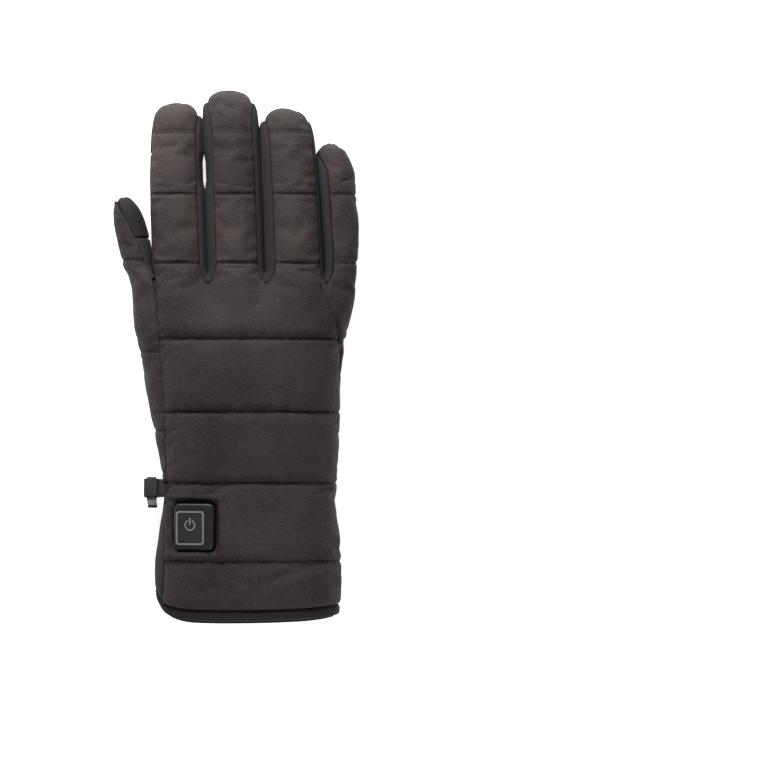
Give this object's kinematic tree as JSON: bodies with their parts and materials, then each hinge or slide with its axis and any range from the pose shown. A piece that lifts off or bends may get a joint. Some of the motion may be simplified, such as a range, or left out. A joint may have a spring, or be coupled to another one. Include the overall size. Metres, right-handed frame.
{
  "type": "heated glove",
  "caption": "Padded heated glove for the right hand with a quilted back, softshell palm, zipped cuff pocket, heating switch, wrist buckle and a hollow inside for the hand.",
  "frame": {"origin": "middle of the footprint, on the surface that the palm lies on", "axes": "+X towards the little finger, +Y towards the fingertips, +Z out of the back of the hand"},
  "size_m": [0.1326, 0.2808, 0.0452],
  "materials": {
    "quilted_twill": "padded twill weave, quilted in channels",
    "softshell": "smooth brushed softshell",
    "side_softshell": "smooth brushed softshell",
    "touch_patch": "fine conductive knit",
    "binding": "turned and stitched band",
    "zip_tape": "woven tape",
    "zip_plastic": "moulded acetal teeth",
    "zip_metal": "black lacquered die casting",
    "rubber": "satin moulded silicone",
    "print": "printed ink",
    "webbing": "woven webbing",
    "buckle_plastic": "moulded acetal"
  },
  "bodies": {
    "glove": {"back_panel": "quilted_twill", "palm_panel": "softshell", "index_patch": "touch_patch", "strip_ring_little": "side_softshell", "strip_middle_ring": "side_softshell", "strip_index_middle": "side_softshell", "thumb_back": "quilted_twill", "thumb_front": "softshell", "thumb_patch": "touch_patch", "cuff_panel": "softshell", "cuff_gusset": "softshell", "hem_band": "binding", "zip_tape": "zip_tape", "zip_teeth": "zip_plastic", "zip_slider": "zip_metal", "button_housing": "rubber", "button_frame": "print", "button_ring": "print", "button_bar": "print", "buckle": "buckle_plastic", "strap": "webbing"},
    "puller": {"zip_puller": "zip_metal"}
  },
  "joints": [
    {"name": "puller_hinge", "type": "hinge", "parent": "glove", "child": "puller", "pos_m": [0.02531, -0.11335, 0.00293], "axis": [0.7744, 0.6293, 0.0648], "range_deg": [0, 170]}
  ]
}
